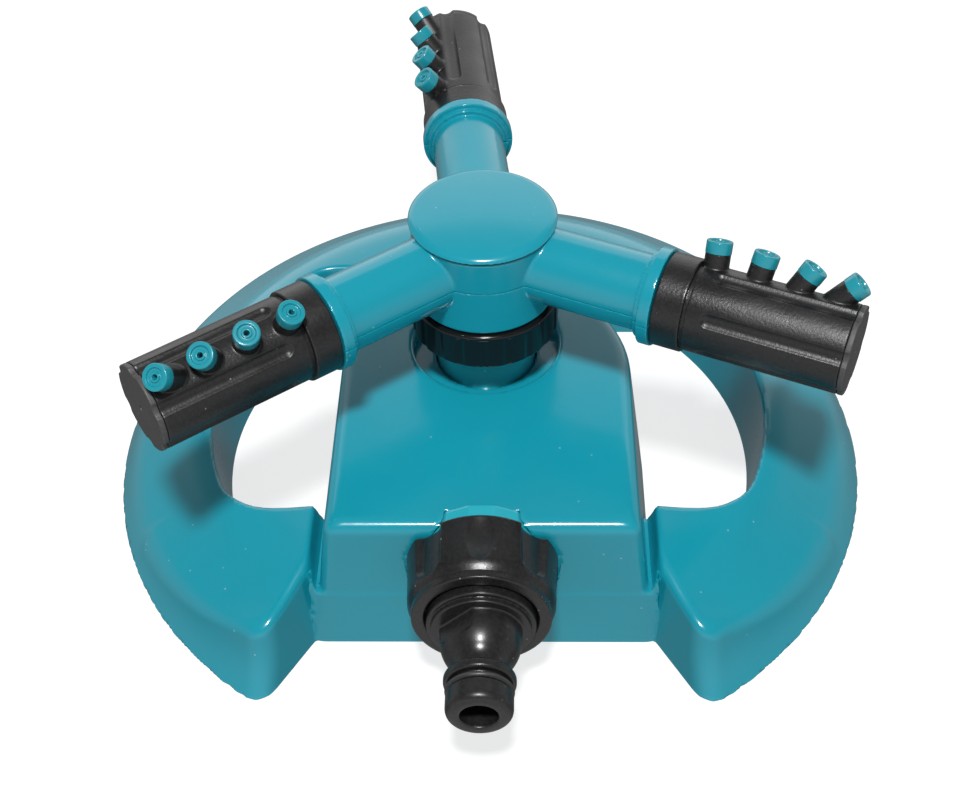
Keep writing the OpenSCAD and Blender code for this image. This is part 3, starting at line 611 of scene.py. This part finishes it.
# ---- materials ----
class Paint:
    """A node material built round one Principled shader."""

    def __init__(self, name, color, roughness, coat=0.0, metallic=0.0):
        self.material = bpy.data.materials.new(name)
        self.material.use_nodes = True
        self.tree = self.material.node_tree
        self.shader = self.tree.nodes["Principled BSDF"]
        self.shader.inputs["Base Color"].default_value = (*color, 1)
        self.shader.inputs["Roughness"].default_value = roughness
        self.shader.inputs["Coat Weight"].default_value = coat
        self.shader.inputs["Coat Roughness"].default_value = 0.12
        self.shader.inputs["Metallic"].default_value = metallic
        self.shader.inputs["IOR"].default_value = 1.5
        self.place = self.add("ShaderNodeTexCoord").outputs["Object"]
        self.normal = None

    def add(self, kind, **settings):
        node = self.tree.nodes.new(kind)
        for key, value in settings.items():
            setattr(node, key, value)
        return node

    def join(self, start, end):
        self.tree.links.new(start, end)

    def noise(self, scale, detail=2.0, rough=0.5, stretch=None):
        node = self.add("ShaderNodeTexNoise")
        node.inputs["Scale"].default_value = scale
        node.inputs["Detail"].default_value = detail
        node.inputs["Roughness"].default_value = rough
        place = self.place
        if stretch:
            moved = self.add("ShaderNodeMapping")
            moved.inputs["Scale"].default_value = stretch
            self.join(place, moved.inputs["Vector"])
            place = moved.outputs["Vector"]
        self.join(place, node.inputs["Vector"])
        return node.outputs["Fac"]

    def between(self, value, low, high, out_low, out_high):
        """value from low..high mapped to out_low..out_high, held at both ends."""
        node = self.add("ShaderNodeMapRange")
        for key, number in zip(("From Min", "From Max", "To Min", "To Max"), (low, high, out_low, out_high)):
            node.inputs[key].default_value = number
        self.join(value, node.inputs["Value"])
        return node.outputs["Result"]

    def blend(self, factor, first, second):
        """Colour that runs from first to second; each is a colour or another node's output."""
        node = self.add("ShaderNodeMix", data_type="RGBA")
        self.join(factor, node.inputs["Factor"])
        for socket, value in ((node.inputs[6], first), (node.inputs[7], second)):
            if isinstance(value, tuple):
                socket.default_value = (*value, 1)
            else:
                self.join(value, socket)
        return node.outputs[2]

    def color(self, output):
        self.join(output, self.shader.inputs["Base Color"])

    def roughness(self, output):
        self.join(output, self.shader.inputs["Roughness"])

    def bump(self, height, distance, strength=1.0):
        """Adds a relief of the given depth in millimetres on top of what is there."""
        node = self.add("ShaderNodeBump")
        node.inputs["Distance"].default_value = distance * MM
        node.inputs["Strength"].default_value = strength
        self.join(height, node.inputs["Height"])
        if self.normal is not None:
            self.join(self.normal, node.inputs["Normal"])
        self.normal = node.outputs["Normal"]
        self.join(self.normal, self.shader.inputs["Normal"])

    def specks(self, scale, reach):
        """Small dots, one where a cell's middle lies nearer than reach."""
        node = self.add("ShaderNodeTexVoronoi")
        node.inputs["Scale"].default_value = scale
        self.join(self.place, node.inputs["Vector"])
        return self.between(node.outputs["Distance"], reach, reach * 0.6, 0, 1)


def gloss(name, color, deep, rough):
    """Glossy moulded plastic: cloudy tone, a painted highlight along convex edges, faint waviness, rubbed
    patches, dust and fine scratches.
    """
    paint = Paint(name, color, rough, coat=0.15)
    cloud = paint.noise(28, 3)
    tone = paint.blend(paint.between(cloud, 0.35, 0.65, 0, 1), color, deep)
    # painted highlight: convex edges are lightened towards a paler colour
    edge = paint.add("ShaderNodeNewGeometry").outputs["Pointiness"]
    painted_highlight = tuple(min(1, c * 1.25 + 0.02) for c in color)
    tone = paint.blend(paint.between(edge, 0.53, 0.62, 0, 0.35), tone, painted_highlight)
    dust = paint.specks(160, 0.045)
    tone = paint.blend(paint.between(dust, 0, 1, 0, 0.25), tone, (0.75, 0.8, 0.8))
    paint.color(tone)
    rubbed = paint.noise(60, 4, 0.6)
    paint.roughness(paint.between(rubbed, 0.3, 0.7, rough - 0.05, rough + 0.06))
    paint.bump(paint.noise(140, 2), 0.05, 0.25)
    paint.bump(paint.noise(300, 2, 0.5, (1, 12, 1)), 0.01, 0.25)
    return paint


def grained(name, color, rough, grain, depth, sheen):
    """Eroded moulded plastic: pits and crests of one grain, with a painted sheen on the crests and a painted
    highlight along convex edges.
    """
    paint = Paint(name, color, rough)
    fine = paint.noise(grain, 3, 0.6)
    worn = paint.noise(90, 3)
    # painted sheen: the grain's crests are lightened by sheen
    painted_highlight = tuple(c + sheen for c in color)
    tone = paint.blend(paint.between(fine, 0.4, 0.72, 0, 1), color, painted_highlight)
    # painted highlight: convex edges are lightened a little
    edge = paint.add("ShaderNodeNewGeometry").outputs["Pointiness"]
    tone = paint.blend(paint.between(edge, 0.53, 0.62, 0, 0.4), tone, tuple(c + 0.05 for c in color))
    dust = paint.specks(210, 0.05)
    tone = paint.blend(paint.between(dust, 0, 1, 0, 0.35), tone, (0.5, 0.5, 0.5))
    paint.color(tone)
    paint.roughness(paint.between(worn, 0.3, 0.7, rough - 0.07, rough + 0.08))
    paint.bump(fine, depth, 0.6)
    paint.bump(paint.noise(40, 2), 0.1, 0.1)
    return paint


def metal(name, color, rough, stretch):
    """Plated or drawn metal with fine lines along one direction."""
    paint = Paint(name, color, rough, metallic=1.0)
    lines = paint.noise(900, 3, 0.6, stretch)
    paint.color(paint.blend(paint.between(lines, 0.3, 0.7, 0, 1), color, tuple(c * 0.8 for c in color)))
    paint.roughness(paint.between(lines, 0.3, 0.7, rough - 0.08, rough + 0.1))
    paint.bump(lines, 0.02, 0.4)
    return paint


TEAL = (0.006, 0.262, 0.345)
TEAL_DEEP = (0.005, 0.25, 0.33)
TIP = (0.010, 0.25, 0.31)
# the pipe's teal is slightly paler than the shell's
paints = {
    "shell_teal": gloss("shell_teal", TEAL, TEAL_DEEP, 0.2),
    "tip_teal": gloss("tip_teal", TIP, (0.008, 0.23, 0.29), 0.24),
    "barrel_black": grained("barrel_black", (0.006, 0.006, 0.0065), 0.36, 1500, 0.10, 0.008),
    "nut_black": grained("nut_black", (0.008, 0.008, 0.0085), 0.30, 1200, 0.05, 0.008),
    "spigot_black": grained("spigot_black", (0.009, 0.009, 0.0095), 0.30, 1100, 0.03, 0.008),
    "pipe_black": gloss("pipe_black", (0.02, 0.37, 0.45), (0.018, 0.35, 0.43), 0.22),
    "washer_plastic": grained("washer_plastic", (0.62, 0.62, 0.58), 0.4, 900, 0.03, 0.03),
    "seal_rubber": grained("seal_rubber", (0.014, 0.014, 0.014), 0.36, 1300, 0.03, 0.01),
    "screw_steel": metal("screw_steel", (0.62, 0.62, 0.63), 0.3, (1, 1, 6)),
    "screen_steel": metal("screen_steel", (0.6, 0.6, 0.6), 0.32, (6, 1, 1)),
}
cap_grey = grained("cap_grey", (0.045, 0.045, 0.046), 0.5, 1400, 0.06, 0.02)
collar_gloss = gloss("collar_gloss", (0.006, 0.006, 0.0065), (0.004, 0.004, 0.0045), 0.14)
collar_gloss.shader.inputs["Coat Weight"].default_value = 0.0
collar_gloss.shader.inputs["Specular IOR Level"].default_value = 0.35


def finish(piece, body, nodes, slot, paint=None):
    """Gives a piece the material of its slot, or paint where given, hangs it on its body and hides the nodes
    it stands for.
    """
    piece.data.materials.clear()
    piece.data.materials.append((paint or paints[slot]).material)
    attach(piece, body)
    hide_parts(*nodes)


# ---- base ----
finish(draw("base_moulding", base_field, (-104, -95, 0.04 - 0.95 * COARSE), (104, 104, 44), 0.95),
       "base", ["base_shell"], "shell_teal")
finish(draw("pipe_moulding", pipe_field, (-18, -77, 15), (18, 18, 56), 0.5),
       "base", ["water_pipe"], "pipe_black")
finish(draw("neck_nut", nut_field, (-20, -20, 48), (20, 20, 61), 0.28),
       "base", ["retaining_nut"], "nut_black", collar_gloss)

# ---- head ----
finish(draw("hub_bottom", hub_lower_field, (-52, -52, 42), (52, 52, 74), 0.42),
       "rotor", ["hub_lower"], "shell_teal")
finish(draw("hub_top", hub_upper_field, (-52, -52, 72), (52, 52, 86), 0.42),
       "rotor", ["hub_upper"], "shell_teal")
finish(draw("top_cap", cap_field, (-20, -20, 79), (20, 20, 86.5), 0.33),
       "rotor", ["hub_cap"], "shell_teal")

# ---- arms ----
for i in range(3):
    arm = i + 1
    body = f"nozzle_arm_{arm}"
    place = arm_place(i)
    finish(draw(f"nozzle_barrel_{arm}", barrel_field, (47, -13, -13), (95, 13, 19.5), 0.3, place),
           body, [f"barrel_{arm}"], "barrel_black")
    finish(draw(f"barrel_disc_{arm}", end_cap_field, (92.5, -12, -12), (96, 12, 12), 0.22, place),
           body, [f"end_cap_{arm}"], "barrel_black", cap_grey)
    for j in range(4):
        to_nozzle = Matrix.Translation((NOZZLE_X[j] * MM, 0, 0)) @ turn(NOZZLE_TILT[j], "Y")
        to_nozzle = to_nozzle @ Matrix.Translation((0, 0, (NOZZLE_REACH[j] - TIP_H) * MM))
        finish(turned(f"jet_{arm}_{j + 1}", [
            (0.68, -3.9, 0), (1.85, -3.9, 0.2), (1.85, 0.03, 0.05), (TIP_R, 0.03, 0.12),
            (TIP_R, TIP_H, 0.3), (2.2, TIP_H, 0.15), (2.0, TIP_H - 0.55, 0.15), (1.2, TIP_H - 0.55, 0.15),
            (1.15, TIP_H - 0.1, 0.1), (0.68, TIP_H - 0.1, 0.1), (0.68, -3.9, 0),
        ], place @ to_nozzle, 56), body, [f"tip_{arm}_{j + 1}"], "tip_teal")

# ---- inlet ----
finish(draw("tap_spigot", spigot_field, (-15, -109.5, 13), (15, -76, 44), 0.27),
       "inlet_spigot", ["hose_spigot"], "spigot_black")
finish(turned("spigot_ring", [
    (6.33, 101.2, 0), (7.95, 101.2, 0.75), (7.95, 102.7, 0.75), (6.33, 102.7, 0.6), (6.33, 101.2, 0.6),
], Matrix.Translation((0, 0, INLET_Z * MM)) @ turn(90, "X")), "inlet_spigot", ["spigot_seal"], "seal_rubber")
finish(draw("lobed_nut", swivel_field, (-19.5, -83, 9), (19.5, -64, 48.5), 0.32),
       "inlet_nut", ["swivel_nut"], "nut_black")

# nodes that keep their CAD shape, in worked materials of their own
KEPT = {
    "pipe_strap": "shell_teal",
    "strap_screws": "screw_steel",
    "bearing_washer": "washer_plastic",
    "hub_screws": "screw_steel",
    "stem_seal": "seal_rubber",
    "arm_seal_1": "seal_rubber",
    "arm_seal_2": "seal_rubber",
    "arm_seal_3": "seal_rubber",
    "inlet_washer": "seal_rubber",
    "filter_screen": "screen_steel",
}
for node, slot in KEPT.items():
    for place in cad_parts[node].material_slots:
        place.material = paints[slot].material

# ---- camera, at the photographed viewing angle ----
CAMERA_AT = (0.010466, -0.294929, 0.3171)
YAW = math.radians(-2.23)
PITCH = math.radians(45.3)
ROLL = math.radians(-1.72)
LENS = 56.62
camera = bpy.data.objects.new("camera", bpy.data.cameras.new("camera"))
bpy.context.scene.collection.objects.link(camera)
camera.data.sensor_width = 36
camera.data.lens = LENS
camera.data.clip_start = 0.01
ahead = Vector((math.sin(YAW) * math.cos(PITCH), math.cos(YAW) * math.cos(PITCH), -math.sin(PITCH)))
level = Vector((math.cos(YAW), -math.sin(YAW), 0))
above = level.cross(ahead)
right = level * math.cos(ROLL) + above * math.sin(ROLL)
top = above * math.cos(ROLL) - level * math.sin(ROLL)
camera.matrix_world = Matrix.Translation(CAMERA_AT) @ Matrix((right, top, -ahead)).transposed().to_4x4()
bpy.context.scene.camera = camera


# ---- floor and studio light ----
def lamp(name, at, look_at, size, power):
    """White rectangular light, turned to shine on look_at."""
    data = bpy.data.lights.new(name, "AREA")
    data.shape = "RECTANGLE"
    data.size, data.size_y = size
    data.energy = power
    piece = bpy.data.objects.new(name, data)
    bpy.context.scene.collection.objects.link(piece)
    piece.location = at
    piece.rotation_euler = (Vector(look_at) - Vector(at)).to_track_quat("-Z", "Y").to_euler()


FLOOR_HALF = 3.0
floor_mesh = bpy.data.meshes.new("studio_floor")
floor_corners = [(FLOOR_HALF * a, FLOOR_HALF * b, 0) for a, b in ((-1, -1), (1, -1), (1, 1), (-1, 1))]
floor_mesh.from_pydata(floor_corners, [], [(0, 1, 2, 3)])
floor = add("studio_floor", floor_mesh)
sweep = Paint("studio_floor", (0.3, 0.3, 0.3), 0.6)
sweep.color(sweep.blend(sweep.between(sweep.noise(3), 0.3, 0.7, 0, 1), (0.3, 0.3, 0.3), (0.32, 0.32, 0.32)))
sweep.shader.inputs["Emission Color"].default_value = (1, 1, 1, 1)
sweep.shader.inputs["Emission Strength"].default_value = 0.75
sweep.shader.inputs["Specular IOR Level"].default_value = 0.1
sweep.bump(sweep.noise(200, 2), 0.05, 0.1)
floor_mesh.materials.append(sweep.material)
# the floor adds no light or reflection of its own, so the object's dark side stays dark
floor.visible_diffuse = False
floor.visible_glossy = False
floor.location.z = -0.0001

world = bpy.data.worlds.new("studio")
world.use_nodes = True
sky = world.node_tree
sky.nodes["Background"].inputs["Color"].default_value = (1, 1, 1, 1)


def ramp(value, numbers):
    """Brightness of the room for a value: from low..high to the two given strengths."""
    node = sky.nodes.new("ShaderNodeMapRange")
    for key, number in zip(("From Min", "From Max", "To Min", "To Max"), numbers):
        node.inputs[key].default_value = number
    sky.links.new(value, node.inputs["Value"])
    return node.outputs["Result"]


# the room is dim, with a bright table in front of the object and a pale band along the horizon
aim = sky.nodes.new("ShaderNodeTexCoord").outputs["Generated"]
forward = sky.nodes.new("ShaderNodeVectorMath")
forward.operation = "DOT_PRODUCT"
forward.inputs[1].default_value = (0, -0.82, -0.57)
sky.links.new(aim, forward.inputs[0])
split = sky.nodes.new("ShaderNodeSeparateXYZ")
sky.links.new(aim, split.inputs[0])
height = sky.nodes.new("ShaderNodeMath")
height.operation = "ABSOLUTE"
sky.links.new(split.outputs["Z"], height.inputs[0])
total = sky.nodes.new("ShaderNodeMath")
total.operation = "ADD"
sky.links.new(ramp(forward.outputs["Value"], (0.35, 0.8, 0.2, 0.62)), total.inputs[0])
sky.links.new(ramp(height.outputs["Value"], (0.2, 0.5, 0.28, 0.0)), total.inputs[1])
sky.links.new(total.outputs["Value"], sky.nodes["Background"].inputs["Strength"])
bpy.context.scene.world = world

lamp("key", (0.0, -0.5, 1.15), (0, 0, 0.03), (0.13, 0.13), 15.5)
lamp("back_wall", (0.0, 1.4, 0.72), (0, 0, 0.72), (2.6, 1.44), 11.8)
bpy.context.scene.view_settings.view_transform = "Standard"
